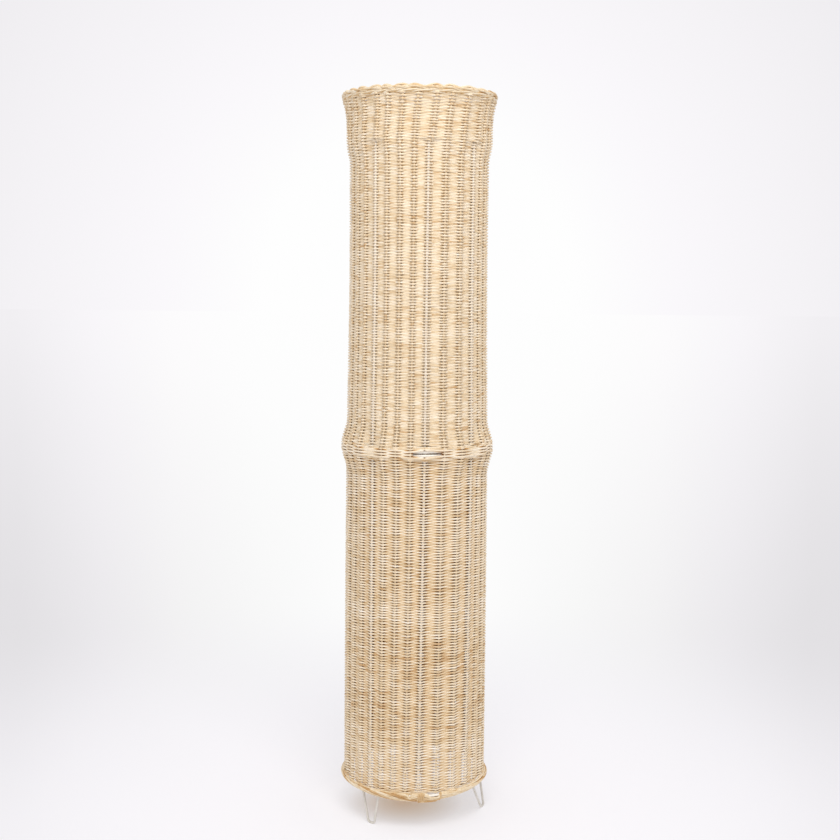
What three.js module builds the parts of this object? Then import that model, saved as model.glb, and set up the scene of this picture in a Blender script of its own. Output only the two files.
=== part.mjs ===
// A woven rattan floor lamp: a wire frame inside a tall round tube of basketwork, on three wire feet.
// Millimetres, +Z up. The origin is on the floor under the axis. Bearings run from the front, -Y, towards +X.
import * as THREE from "three";

// Overall heights
const overallHeight = 1200;
const bottomRingHeight = 60;
const middleJointHeight = 623;
const waistHeight = 950;
const topRingDrop = 66;

// Radius of the circle on which the uprights stand
const frameRadiusBottom = 116.3;
const frameRadiusMiddle = 114.2;
const frameRadiusWaist = 110;
const frameRadiusTop = 110.3;

// Wire, cane and the gaps between pieces
const frameWire = 4;
const middleRingWire = 5;
const middleRingGap = 1.6;
const stakeCane = 3;
const weaveThickness = 2.6;
const seatGap = 0.3;
const ribGap = 0.4;

// Shape of the basketwork
const ribDepth = 2.8;
const bulgeReach = 42;
const riseReach = 36;
const riseSlack = 2;
const flareLength = 42;
const flareOut = 6.1;
const flareTwist = 3;
const rimHeight = 13;
const rimWidth = 9.2;
const rimProud = 0.7;
const borderThickness = 2.4;
const borderDrop = 4.4;

// Hairpin feet
const footSpread = 35;
const footTipRun = 5;
const footTipBend = 4;
const footWeldLength = 5;
const footBendSteps = 4;
const footBendStartShare = 0.3;
const footLeans = [1.5, 31, 0];
const footBearings = [-38.2, 66, 201.8];

// Carrier of the lampholder
const armBearings = [30, 150, 270];
const hubRadius = 22;
const hubThickness = 3;

// Lampholder and its cord inlet
const nippleRadius = 4.9;
const nippleBore = 3.6;
const nippleRise = 9;
const nippleDrop = 15;
const nutThickness = 5;
const nutAcrossFlats = 14;
const inletRadius = 7.5;
const inletLength = 12;
const inletGrip = 7;
const holderRadius = 19.5;
const holderWall = 2;
const holderCapTaper = 5;
const holderCapHeight = 18;
const holderBodyHeight = 38;
const terminalBlockHeight = 11.5;
const terminalBlockLift = 9.5;
const terminalScrewRadius = 2.8;
const terminalScrewHead = 2.4;
const terminalScrewOffset = 9;
const contactRadius = 3;
const contactHeight = 1.5;
const shellWall = 0.8;
const shellLength = 22;

// Bulb
const bulbCapRadius = 13;
const bulbCapHeight = 24;
const bulbCapClearance = 0.45;
const bulbTipRadius = 4.5;
const bulbTipHeight = 1.2;
const bulbGlassRadius = 30;
const bulbGlassHeight = 80;
const bulbGlassWall = 1;

// Bearings of the eight uprights at the top, the middle joint and the bottom, and the canes that follow each
const uprightBearings = [
  { top: -38.4, middle: -38.2, bottom: -38.3, canes: 3 },
  { top: 7.6, middle: 6.4, bottom: 3.4, canes: 2 },
  { top: 51.4, middle: 50.4, bottom: 46.4, canes: 3 },
  { top: 95.6, middle: 95.0, bottom: 93.2, canes: 3 },
  { top: 140.4, middle: 140.0, bottom: 139.2, canes: 3 },
  { top: 185.8, middle: 186.2, bottom: 186.6, canes: 3 },
  { top: 231.2, middle: 231.8, bottom: 231.4, canes: 3 },
  { top: 276.6, middle: 276.8, bottom: 276.2, canes: 3 },
];

// Facets round a circle
const towerSides = 40;
const holderSides = 24;
const wireSides = 6;
const caneSides = 5;
const footSides = 8;
const screwSides = 12;

const half = 0.5;
const fullTurn = 2 * Math.PI;
const fullTurnDegrees = 360;

// Worked-out heights and radii
const wireRadius = frameWire * half;
const middleWireRadius = middleRingWire * half;
const caneRadius = stakeCane * half;
const facetShare = Math.cos(Math.PI / towerSides);
const topRingHeight = overallHeight - topRingDrop - rimHeight;
const weaveTop = overallHeight - rimHeight - seatGap;
const weaveFoot = bottomRingHeight + wireRadius + seatGap + borderThickness + seatGap;
const flareFoot = weaveTop - flareLength;
const middleRingOffset = (middleRingWire + middleRingGap) * half;

// Materials
function paint(color, roughness, metalness) {
  return new THREE.MeshStandardMaterial({ color, roughness, metalness });
}

const rattan = paint("#dcc6a2", 0.75, 0);
const paleRattan = paint("#e6d5b8", 0.75, 0);
const caneFinish = paint("#cdb48c", 0.7, 0);
const whiteWire = paint("#e0dcd6", 0.45, 0);
const whitePlastic = paint("#f0eeea", 0.4, 0);
const porcelain = paint("#f4f1ea", 0.3, 0);
const brass = paint("#c9a55a", 0.35, 1);
const steel = paint("#b9bcc0", 0.4, 1);
const opalGlass = paint("#f7f5ef", 0.2, 0);

const lamp = new THREE.Group();

function add(name, geometry, material) {
  const mesh = new THREE.Mesh(geometry, material);
  mesh.name = name;
  lamp.add(mesh);
  return mesh;
}

// A point at a bearing from the front, a radius and a height
function place(bearing, radius, height) {
  const angle = THREE.MathUtils.degToRad(bearing);
  return new THREE.Vector3(radius * Math.sin(angle), -radius * Math.cos(angle), height);
}

// A line through given points, with one section of the wire at each of them
class PointLine extends THREE.Curve {
  constructor(points) {
    super();
    this.points = points;
  }
  getPoint(share, target = new THREE.Vector3()) {
    const along = share * (this.points.length - 1);
    const first = Math.min(Math.floor(along), this.points.length - 2);
    return target.lerpVectors(this.points[first], this.points[first + 1], along - first);
  }
  getUtoTmapping(share) {
    return share;
  }
}

// A round bar along a line of points, with a flat of its section on each side of its own plane
function bar(points, radius, sides) {
  const section = new THREE.Shape();
  for (let side = 0; side < sides; side += 1) {
    const angle = (fullTurn * (side + half)) / sides;
    const corner = [radius * Math.cos(angle), radius * Math.sin(angle)];
    if (side === 0) section.moveTo(...corner);
    else section.lineTo(...corner);
  }
  section.closePath();
  const extrudePath = new PointLine(points);
  return new THREE.ExtrudeGeometry(section, { steps: points.length - 1, bevelEnabled: false, extrudePath });
}

// A turned solid from its outline in radius and height, walked with the material on its left
function turned(outline, sides) {
  const points = outline.map(([radius, height]) => new THREE.Vector2(radius, height));
  const onAxis = outline[0][0] === 0;
  if (!onAxis) points.push(points[0].clone());
  const geometry = new THREE.LatheGeometry(points, sides);
  geometry.rotateX(Math.PI * half);
  return geometry;
}

// A ring of round wire whose section is centred at a radius and height
function wireRing(radius, height, sectionRadius) {
  const outline = [];
  for (let side = 0; side < wireSides; side += 1) {
    const angle = (fullTurn * side) / wireSides;
    outline.push([radius + sectionRadius * Math.cos(angle), height + sectionRadius * Math.sin(angle)]);
  }
  return turned(outline, towerSides);
}

// Radius of the uprights' circle at a height
function frameRadius(height) {
  if (height <= middleJointHeight) {
    const share = (height - bottomRingHeight) / (middleJointHeight - bottomRingHeight);
    return THREE.MathUtils.lerp(frameRadiusBottom, frameRadiusMiddle, Math.max(share, 0) ** 2);
  }
  if (height <= waistHeight) {
    const share = (height - middleJointHeight) / (waistHeight - middleJointHeight);
    return THREE.MathUtils.lerp(frameRadiusMiddle, frameRadiusWaist, share + share ** 2 - share ** 3);
  }
  const share = THREE.MathUtils.smoothstep(height, waistHeight, topRingHeight);
  return THREE.MathUtils.lerp(frameRadiusWaist, frameRadiusTop, share);
}

// Radius of a ring that lies outside the uprights at a height
function outerRingRadius(height, sectionRadius) {
  return (frameRadius(height) + wireRadius + seatGap) / facetShare + sectionRadius;
}

const middleRingRadius = outerRingRadius(middleJointHeight - middleRingOffset, middleWireRadius);
const bottomRingRadius = outerRingRadius(bottomRingHeight, wireRadius);

// How far the canes are lifted over the two middle rings
const middleFace = frameRadius(middleJointHeight) + wireRadius;
const bulgeLift = middleRingRadius + middleWireRadius + seatGap + stakeCane - middleFace;
const riseLift = stakeCane + seatGap + riseSlack;

// Outer face of the canes and uprights at a height, where the weave lies on them
function stakeFace(height) {
  const offRings = Math.max(Math.abs(height - middleJointHeight) - middleRingOffset, 0);
  const bulgeShare = Math.max(1 - offRings / bulgeReach, 0);
  const bulge = bulgeLift * THREE.MathUtils.smoothstep(bulgeShare, 0, 1);
  const riseFoot = topRingHeight - riseReach;
  const rise = riseLift * THREE.MathUtils.smoothstep(height, riseFoot, topRingHeight - wireRadius);
  const flareShare = Math.max(height - flareFoot, 0) / flareLength;
  return frameRadius(height) + wireRadius + bulge + rise + flareOut * flareShare ** 2;
}

const weaveInside = (height) => stakeFace(height) + ribGap;
const weaveOutside = (height) => weaveInside(height) + weaveThickness;

// Heights at which the basketwork has a section
const bulgeShares = [1, 0.42, 0];
const lowerBodyShares = [0, 0.4, 0.75];
const upperBodyShares = [0.3, 0.65, 1];
const flareShares = [0, 0.55, 1];

function lowerLevels() {
  const ring = middleJointHeight - middleRingOffset;
  const body = lowerBodyShares.map((share) => THREE.MathUtils.lerp(weaveFoot, ring - bulgeReach, share));
  const bulge = bulgeShares.map((share) => ring - bulgeReach * share);
  return [...body, ...bulge, middleJointHeight - seatGap * half];
}

function upperLevels() {
  const ring = middleJointHeight + middleRingOffset;
  const riseFoot = topRingHeight - riseReach;
  const bulge = bulgeShares.map((share) => ring + bulgeReach * share).reverse();
  const body = upperBodyShares.map((share) => THREE.MathUtils.lerp(ring + bulgeReach, riseFoot, share));
  const flare = flareShares.map((share) => THREE.MathUtils.lerp(flareFoot, weaveTop, share));
  return [middleJointHeight + seatGap * half, ...bulge, ...body, topRingHeight - wireRadius, ...flare];
}

// Bearing of an upright at a height, from its three named bearings, and of the flare that twists on above it
function bearingAt(upright, height) {
  if (height > topRingHeight) {
    return upright.top + (flareTwist * (height - topRingHeight)) / (weaveTop - topRingHeight);
  }
  if (height > middleJointHeight) {
    const share = (height - middleJointHeight) / (topRingHeight - middleJointHeight);
    return THREE.MathUtils.lerp(upright.middle, upright.top, share);
  }
  const share = (height - bottomRingHeight) / (middleJointHeight - bottomRingHeight);
  return THREE.MathUtils.lerp(upright.bottom, upright.middle, Math.max(share, 0));
}

// Bearings of all the stakes at a height: each upright, and after it its canes
function stakeBearings(height) {
  return uprightBearings.flatMap((upright, index) => {
    const next = uprightBearings[(index + 1) % uprightBearings.length];
    const from = bearingAt(upright, height);
    const turn = THREE.MathUtils.euclideanModulo(bearingAt(next, height) - from, fullTurnDegrees);
    const spaces = upright.canes + 1;
    return Array.from({ length: spaces }, (_, space) => from + (turn * space) / spaces);
  });
}

// One turn round a woven wall: a crest over each stake, and a dip halfway to the next
function wallTurn(height, radius) {
  const bearings = stakeBearings(height);
  return bearings.flatMap((bearing, index) => {
    const next = index + 1 < bearings.length ? bearings[index + 1] : bearings[0] + fullTurnDegrees;
    return [place(bearing, radius, height), place((bearing + next) * half, radius - ribDepth, height)];
  });
}

// A woven wall, up its outside and down its inside
function weaveWall(levels) {
  const outside = levels.map((height) => wallTurn(height, weaveOutside(height)));
  const inside = levels.map((height) => wallTurn(height, weaveInside(height))).reverse();
  const turns = [...outside, ...inside];
  const columns = outside[0].length;
  const faces = turns.flatMap((points, row) => {
    const above = ((row + 1) % turns.length) * columns;
    return points.flatMap((_, column) => {
      const beside = (column + 1) % columns;
      const [first, second] = [row * columns + column, row * columns + beside];
      return [first, second, above + beside, first, above + beside, above + column];
    });
  });
  const geometry = new THREE.BufferGeometry().setFromPoints(turns.flat());
  geometry.setIndex(faces);
  geometry.computeVertexNormals();
  return geometry;
}

// The two woven walls
function addWeave() {
  add("woven_wall_lower", weaveWall(lowerLevels()), rattan);
  add("woven_wall_upper", weaveWall(upperLevels()), rattan);
}

// The plaited rim, a full round roll with flattened sides
function addRim() {
  const outerShares = [[0.55, 0], [1, 0.3], [1, 0.68], [0.6, 1]];
  const innerShares = outerShares.map(([across, up]) => [-across, up]).reverse();
  const middle = weaveOutside(weaveTop) + rimProud - rimWidth * half;
  const outline = [...outerShares, ...innerShares].map(([across, up]) => [
    middle + rimWidth * half * across,
    overallHeight - rimHeight + rimHeight * up,
  ]);
  add("plaited_rim", turned(outline, towerSides), paleRattan);
}

// The border rolled round the outside and underside of the bottom ring, open to the axis at the feet's welds
function addBorder() {
  const openShares = [0.19, 0.1, 0, -0.1, -0.2, -0.29];
  const inner = wireRadius + seatGap;
  const outer = inner + borderThickness;
  const corner = (radius, depth) => (share) => [
    bottomRingRadius + radius * Math.cos(fullTurn * share),
    bottomRingHeight + (share < 0 ? depth : radius) * Math.sin(fullTurn * share),
  ];
  const inside = openShares.map(corner(inner, inner));
  const outside = openShares.map(corner(outer, outer + borderDrop));
  const outline = [...inside, ...outside.reverse()];
  add("bottom_border", turned(outline, towerSides), paleRattan);
}

// The four rings of the frame
function addRings() {
  add("top_ring", wireRing(frameRadiusTop, topRingHeight, wireRadius), whiteWire);
  const upper = middleJointHeight + middleRingOffset;
  const lower = middleJointHeight - middleRingOffset;
  add("middle_ring_upper", wireRing(middleRingRadius, upper, middleWireRadius), whiteWire);
  add("middle_ring_lower", wireRing(middleRingRadius, lower, middleWireRadius), whiteWire);
  add("bottom_ring", wireRing(bottomRingRadius, bottomRingHeight, wireRadius), whiteWire);
}

// The eight uprights, and the canes spread evenly between each and the next
function addUprights() {
  const foot = bottomRingHeight - wireRadius;
  const head = topRingHeight - wireRadius - seatGap;
  const levels = [foot, ...lowerLevels(), ...upperLevels().filter((height) => height < head), head];
  uprightBearings.forEach((upright, index) => {
    const points = levels.map((height) => place(bearingAt(upright, height), frameRadius(height), height));
    add(`upright_${index + 1}`, bar(points, wireRadius, wireSides), whiteWire);
  });
}

function addCanes() {
  const levels = [...lowerLevels(), ...upperLevels()];
  const bearings = levels.map(stakeBearings);
  let stake = 0;
  let number = 0;
  uprightBearings.forEach((upright) => {
    for (let cane = 1; cane <= upright.canes; cane += 1) {
      const points = levels.map((height, level) => {
        return place(bearings[level][stake + cane], stakeFace(height) - caneRadius, height);
      });
      number += 1;
      add(`cane_${number}`, bar(points, caneRadius, caneSides), caneFinish);
    }
    stake += upright.canes + 1;
  });
}

// One hairpin foot in its own upright plane: across, then up. Its tip has a short flat run on the floor.
function footPoints(lean) {
  const top = bottomRingHeight + wireRadius;
  const weldFoot = top - footWeldLength;
  const floor = wireRadius * Math.cos(Math.PI / footSides);
  const side = (direction) => {
    const topX = direction * footSpread * half;
    const runEnd = lean + direction * footTipRun * half;
    const bendEnd = runEnd + direction * footTipBend * half;
    const corner = new THREE.Vector3(runEnd + direction * footTipBend * footBendStartShare, floor);
    const slope = new THREE.Vector3(topX - bendEnd, weldFoot - floor - footTipBend).normalize();
    const from = new THREE.Vector3(runEnd, floor);
    const to = new THREE.Vector3(bendEnd, floor + footTipBend * half);
    to.addScaledVector(slope, footTipBend * half);
    const bend = new THREE.QuadraticBezierCurve3(from, corner, to).getPoints(footBendSteps);
    return [
      new THREE.Vector3(lean + direction * footTipRun * footBendStartShare, floor),
      ...bend,
      new THREE.Vector3(topX, weldFoot),
      new THREE.Vector3(topX, top),
    ];
  };
  return [...side(-1).reverse(), ...side(1)];
}

function addFeet() {
  const planeRadius = Math.sqrt(frameRadius(bottomRingHeight) ** 2 - (footSpread * half) ** 2);
  footBearings.forEach((bearing, index) => {
    const geometry = bar(footPoints(footLeans[index]), wireRadius, footSides);
    const foot = add(`hairpin_foot_${index + 1}`, geometry, whiteWire);
    foot.rotation.set(Math.PI * half, THREE.MathUtils.degToRad(bearing), 0, "ZXY");
    foot.position.copy(place(bearing, planeRadius, 0));
  });
}

// Three arms from the bottom ring to a drilled hub plate
const hubTop = bottomRingHeight + hubThickness * half;
const hubFoot = bottomRingHeight - hubThickness * half;

function addCarrier() {
  armBearings.forEach((bearing, index) => {
    const from = place(bearing, hubRadius + seatGap, bottomRingHeight);
    const to = place(bearing, (bottomRingRadius - wireRadius) * facetShare - seatGap, bottomRingHeight);
    add(`carrier_arm_${index + 1}`, bar([from, to], wireRadius, wireSides), whiteWire);
  });
  const bore = nippleRadius + seatGap;
  const outline = [[bore, hubFoot], [hubRadius, hubFoot], [hubRadius, hubTop], [bore, hubTop]];
  add("carrier_hub", turned(outline, holderSides), whiteWire);
}

// Hollow threaded nipple with its nut, and the plastic inlet bush on its lower end
const nippleFoot = hubFoot - nippleDrop;
const nippleTop = hubTop + nippleRise;

function addInlet() {
  const nipple = [
    [nippleBore, nippleFoot],
    [nippleRadius, nippleFoot],
    [nippleRadius, nippleTop],
    [nippleBore, nippleTop],
  ];
  add("threaded_nipple", turned(nipple, holderSides), steel);

  const hexagon = new THREE.Shape();
  const corners = 6;
  const cornerRadius = (nutAcrossFlats * half) / Math.cos(Math.PI / corners);
  for (let index = 0; index < corners; index += 1) {
    const angle = (fullTurn * index) / corners;
    const corner = [cornerRadius * Math.cos(angle), cornerRadius * Math.sin(angle)];
    if (index === 0) hexagon.moveTo(...corner);
    else hexagon.lineTo(...corner);
  }
  hexagon.closePath();
  const bore = new THREE.Path().absarc(0, 0, nippleRadius + seatGap, 0, fullTurn, true);
  hexagon.holes.push(bore);
  const settings = { depth: nutThickness, bevelEnabled: false, curveSegments: screwSides };
  const nut = new THREE.ExtrudeGeometry(hexagon, settings);
  nut.translate(0, 0, hubFoot - seatGap - nutThickness);
  add("nipple_nut", nut, steel);

  const grip = nippleFoot + inletGrip;
  const ledge = nippleFoot - seatGap;
  const foot = grip - inletLength;
  const socket = nippleRadius + seatGap;
  const bush = [
    [nippleBore, foot],
    [inletRadius - holderWall * half, foot],
    [inletRadius, foot + holderWall * half],
    [inletRadius, grip],
    [socket, grip],
    [socket, ledge],
    [nippleBore, ledge],
  ];
  add("cord_inlet_bush", turned(bush, holderSides), whitePlastic);
}

// Lampholder: cap, body, terminal block, screw shell and contacts
const capFoot = hubTop + seatGap;
const capTop = capFoot + holderCapHeight;
const bodyFoot = capTop + seatGap;
const bodyTop = bodyFoot + holderBodyHeight;
const blockFoot = capTop - terminalBlockLift + terminalBlockHeight * half;
const blockTop = blockFoot + terminalBlockHeight;
const shellFoot = blockTop + seatGap;
const shellInside = bulbCapRadius + bulbCapClearance;
const shellOutside = shellInside + shellWall;
const holderInside = holderRadius - holderWall;

function addHolder() {
  const bore = nippleRadius + seatGap;
  const shoulder = holderRadius - holderCapTaper;
  const shoulderHeight = capFoot + holderCapHeight * half;
  const cap = [
    [bore, capFoot],
    [shoulder, capFoot],
    [holderRadius, shoulderHeight],
    [holderRadius, capTop],
    [holderInside, capTop],
    [holderInside, shoulderHeight + holderWall * half],
    [shoulder - holderWall * half, capFoot + holderWall],
    [bore, capFoot + holderWall],
  ];
  add("holder_cap", turned(cap, holderSides), whitePlastic);

  const neck = shellOutside + seatGap;
  const ledge = shellFoot;
  const body = [
    [holderInside, bodyFoot],
    [holderRadius, bodyFoot],
    [holderRadius, ledge + holderWall],
    [neck + holderWall, ledge + holderWall * 2],
    [neck + holderWall, bodyTop - holderWall],
    [neck + holderWall * half, bodyTop],
    [neck, bodyTop],
    [neck, ledge],
    [holderInside, ledge],
  ];
  add("holder_body", turned(body, holderSides), whitePlastic);

  const blockRadius = holderInside - seatGap;
  const block = [[0, blockFoot], [blockRadius, blockFoot], [blockRadius, blockTop], [0, blockTop]];
  add("terminal_block", turned(block, holderSides), porcelain);
  [-1, 1].forEach((side, index) => {
    const rim = terminalScrewRadius;
    const head = new THREE.CylinderGeometry(rim, rim, terminalScrewHead, screwSides);
    head.rotateX(Math.PI * half);
    const screw = add(`terminal_screw_${index + 1}`, head, brass);
    screw.position.set(side * terminalScrewOffset, 0, blockFoot - seatGap - terminalScrewHead * half);
  });

  const shell = [
    [shellInside, shellFoot],
    [shellOutside, shellFoot],
    [shellOutside, shellFoot + shellLength],
    [shellInside, shellFoot + shellLength],
  ];
  add("screw_shell", turned(shell, holderSides), brass);
  const contact = [
    [0, shellFoot],
    [contactRadius, shellFoot],
    [contactRadius * half, shellFoot + contactHeight],
    [0, shellFoot + contactHeight],
  ];
  add("centre_contact", turned(contact, holderSides), brass);
}

// Bulb: tip contact, screw cap and opal glass envelope, open at its neck
function addBulb() {
  const tipFoot = shellFoot + contactHeight + seatGap;
  const tipTop = tipFoot + bulbTipHeight;
  const tip = [
    [0, tipFoot],
    [bulbTipRadius * half, tipFoot],
    [bulbTipRadius, tipTop],
    [0, tipTop],
  ];
  add("bulb_tip_contact", turned(tip, holderSides), brass);

  const capFootHeight = tipTop + seatGap;
  const capHead = capFootHeight + bulbCapHeight;
  const taper = bulbCapRadius - bulbTipRadius;
  const cap = [
    [0, capFootHeight],
    [bulbTipRadius, capFootHeight],
    [bulbCapRadius, capFootHeight + taper * half],
    [bulbCapRadius, capHead],
    [0, capHead],
  ];
  add("bulb_screw_cap", turned(cap, holderSides), steel);

  const glassFoot = capHead + seatGap;
  const waistShares = [[0, 0.44], [0.12, 0.47], [0.28, 0.66], [0.42, 0.87]];
  const outside = waistShares.map(([up, out]) => [bulbGlassRadius * out, glassFoot + bulbGlassHeight * up]);
  const inside = outside.map(([radius, height]) => [radius - bulbGlassWall, height]);
  const domeCentre = glassFoot + bulbGlassHeight - bulbGlassRadius;
  const domeSteps = 6;
  const dome = (radius) => {
    const points = [];
    for (let step = 0; step <= domeSteps; step += 1) {
      const angle = (Math.PI * half * step) / domeSteps;
      points.push([step === domeSteps ? 0 : radius * Math.cos(angle), domeCentre + radius * Math.sin(angle)]);
    }
    return points;
  };
  const innerDome = dome(bulbGlassRadius - bulbGlassWall).reverse();
  const envelope = [...innerDome, ...inside.reverse(), ...outside, ...dome(bulbGlassRadius)];
  add("bulb_glass", turned(envelope, holderSides), opalGlass);
}

addWeave();
addRim();
addBorder();
addRings();
addUprights();
addCanes();
addFeet();
addCarrier();
addInlet();
addHolder();
addBulb();

export default lamp;
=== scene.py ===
import math
import random

import bmesh
import bpy
import numpy as np
from mathutils import Matrix, Vector


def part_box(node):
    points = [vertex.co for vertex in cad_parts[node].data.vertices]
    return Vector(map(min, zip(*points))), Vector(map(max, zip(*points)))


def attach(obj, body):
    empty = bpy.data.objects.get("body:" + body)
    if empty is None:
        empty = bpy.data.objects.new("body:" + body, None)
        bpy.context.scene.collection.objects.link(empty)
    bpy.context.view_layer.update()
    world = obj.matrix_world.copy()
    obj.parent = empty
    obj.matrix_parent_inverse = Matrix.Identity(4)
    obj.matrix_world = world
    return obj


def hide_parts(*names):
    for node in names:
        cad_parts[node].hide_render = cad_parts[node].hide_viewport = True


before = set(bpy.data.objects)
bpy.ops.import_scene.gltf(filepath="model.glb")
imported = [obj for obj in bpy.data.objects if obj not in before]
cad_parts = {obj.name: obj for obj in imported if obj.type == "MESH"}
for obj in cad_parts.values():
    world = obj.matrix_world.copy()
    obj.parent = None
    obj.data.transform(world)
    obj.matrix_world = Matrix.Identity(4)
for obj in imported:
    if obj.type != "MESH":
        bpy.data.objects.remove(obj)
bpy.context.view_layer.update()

# Camera
# It stands a little over two metres in front of the lamp, at three quarters of its height, and looks
# slightly down on its middle.
PHOTO_PIXELS = 840
FOCAL_PIXELS = 1278
AXIS_PIXEL = 417
SENSOR_MILLIMETRES = 36
CAMERA_PLACE = (0, -2.132, 0.889)
CAMERA_DOWN = math.radians(6)
CAMERA_ROLL = math.radians(0.515)


def new_object(name, data):
    """An object at the origin of the scene."""
    made = bpy.data.objects.new(name, data)
    bpy.context.scene.collection.objects.link(made)
    return made


camera_data = bpy.data.cameras.new("camera")
camera_data.sensor_fit = "HORIZONTAL"
camera_data.sensor_width = SENSOR_MILLIMETRES
camera_data.lens = SENSOR_MILLIMETRES * FOCAL_PIXELS / PHOTO_PIXELS
camera = new_object("camera", camera_data)
bpy.context.scene.camera = camera
camera_yaw = math.atan((AXIS_PIXEL - PHOTO_PIXELS / 2) / FOCAL_PIXELS)
camera.matrix_world = (
    Matrix.Translation(CAMERA_PLACE)
    @ Matrix.Rotation(camera_yaw, 4, "Z")
    @ Matrix.Rotation(math.radians(90) - CAMERA_DOWN, 4, "X")
    @ Matrix.Rotation(CAMERA_ROLL, 4, "Z")
)

# Uprights
# Eight steel wires, 4 mm thick and coated warm white, stand inside the bottom ring and end under the top
# ring. They are welded to the rings. The weave passes in front of one and behind the next.
RADIUS_BOTTOM, RADIUS_JOINT, RADIUS_WAIST, RADIUS_TOP = 0.1163, 0.1142, 0.110, 0.1103
WAIST_HEIGHT = 0.950
WIRE_RADIUS = 0.002
WIRE_ROUNDNESS = 3
COAT_TINTS = [(0.35, "#f3ede2"), (0.6, "#faf5ec"), (0.8, "#fffcf6")]
COAT_ROUGHNESS = 0.42
UPRIGHT_POINTS = 60
FLARE_TWIST = 3
ROD_TIP = 1 / 8
ROD_DOUBLES = 1 / 500
SPECKLE_DEPTH = 0.0002
UPRIGHT_TOPS = (-38.4, 7.6, 51.4, 95.6, 140.4, 185.8, 231.2, 276.6)
UPRIGHT_JOINTS = (-38.2, 6.4, 50.4, 95.0, 140.0, 186.2, 231.8, 276.8)
UPRIGHT_BOTTOMS = (-38.3, 3.4, 46.4, 93.2, 139.2, 186.6, 231.4, 276.2)
CANES_AFTER = (3, 2, 3, 3, 3, 3, 3, 3)
UPRIGHT_COUNT = len(UPRIGHT_TOPS)


def middle(node):
    low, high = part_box(node)
    return (low + high) / 2


bottom_height = middle("bottom_ring").z
joint_height = (middle("middle_ring_lower").z + middle("middle_ring_upper").z) / 2
top_height = middle("top_ring").z
weave_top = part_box("woven_wall_upper")[1].z


def ease(share):
    """A share between 0 and 1 that starts and ends gently."""
    share = np.clip(share, 0, 1)
    return share * share * (3 - 2 * share)


def upright_radius(height):
    """Radius of the circle on which the uprights stand."""
    low = np.clip((height - bottom_height) / (joint_height - bottom_height), 0, 1)
    high = np.clip((height - joint_height) / (WAIST_HEIGHT - joint_height), 0, 1)
    top = ease((height - WAIST_HEIGHT) / (top_height - WAIST_HEIGHT))
    radius = RADIUS_BOTTOM + (RADIUS_JOINT - RADIUS_BOTTOM) * low**2
    radius = radius + (RADIUS_WAIST - RADIUS_JOINT) * (high + high**2 - high**3)
    return radius + (RADIUS_TOP - RADIUS_WAIST) * top


def upright_bearing(number, height):
    """Bearing of an upright in degrees from the front, towards the right."""
    heights = [bottom_height, joint_height, top_height]
    bearings = [UPRIGHT_BOTTOMS[number], UPRIGHT_JOINTS[number], UPRIGHT_TOPS[number]]
    twist = np.clip((height - top_height) / (weave_top - top_height), 0, None)
    return np.interp(height, heights, bearings) + FLARE_TWIST * twist


def at(bearing, radius, height):
    """Points at a bearing in degrees, a radius and a height."""
    turn = np.radians(bearing)
    return np.stack(np.broadcast_arrays(radius * np.sin(turn), -radius * np.cos(turn), height), -1)


def rods(name, runs, radius, roundness, loop=False, level=False, swell=None, marks=None):
    """A piece of round rods, each along its own run of points, with closed ends and noted marks."""
    curve = bpy.data.curves.new(name, "CURVE")
    curve.dimensions = "3D"
    curve.bevel_depth = radius
    curve.bevel_resolution = roundness
    curve.twist_mode = "Z_UP" if level else "MINIMUM"
    noted = {mark: [] for mark in (marks or {})}
    for number, run in enumerate(runs):
        run = np.asarray(run, float)
        widths = np.ones(len(run)) if swell is None else np.asarray(swell[number], float)
        ends = 0 if loop else 1
        if not loop:
            first, last = run[0] - run[1], run[-1] - run[-2]
            first = run[0] + first / np.linalg.norm(first) * radius * ROD_TIP
            last = run[-1] + last / np.linalg.norm(last) * radius * ROD_TIP
            run = np.vstack([first, run, last])
            widths = np.concatenate([[0], widths, [0]])
        spline = curve.splines.new("POLY")
        spline.points.add(len(run) - 1)
        spline.points.foreach_set("co", np.column_stack([run, np.ones(len(run))]).ravel())
        spline.points.foreach_set("radius", widths)
        spline.use_cyclic_u = loop
        for mark in noted:
            noted[mark].append(np.pad(np.asarray(marks[mark][number], float), ends, mode="edge"))
    maker = new_object(name, curve)
    seen = maker.evaluated_get(bpy.context.evaluated_depsgraph_get())
    mesh = bpy.data.meshes.new_from_object(seen)
    mesh.name = name
    bpy.data.objects.remove(maker)
    sides = 4 + 2 * roundness
    for mark, values in noted.items():
        layer = mesh.attributes.new(mark, "FLOAT", "POINT")
        layer.data.foreach_set("value", np.repeat(np.concatenate(values), sides).astype(np.float32))
    shape = bmesh.new()
    shape.from_mesh(mesh)
    bmesh.ops.remove_doubles(shape, verts=shape.verts, dist=radius * ROD_DOUBLES)
    bmesh.ops.recalc_face_normals(shape, faces=shape.faces)
    shape.to_mesh(mesh)
    shape.free()
    return new_object(name, mesh)


def linear(code):
    """A colour written as on a screen, as the linear colour that a shader takes."""
    shares = [int(code[place:place + 2], 16) / 255 for place in (1, 3, 5)]
    return [s / 12.92 if s <= 0.04045 else ((s + 0.055) / 1.055) ** 2.4 for s in shares] + [1]


def new_finish(name, roughness, metallic=0.0):
    """A material with its node tree and surface shader."""
    material = bpy.data.materials.new(name)
    material.use_nodes = True
    surface = material.node_tree.nodes["Principled BSDF"]
    surface.inputs["Roughness"].default_value = roughness
    surface.inputs["Metallic"].default_value = metallic
    return material, material.node_tree, surface


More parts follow.
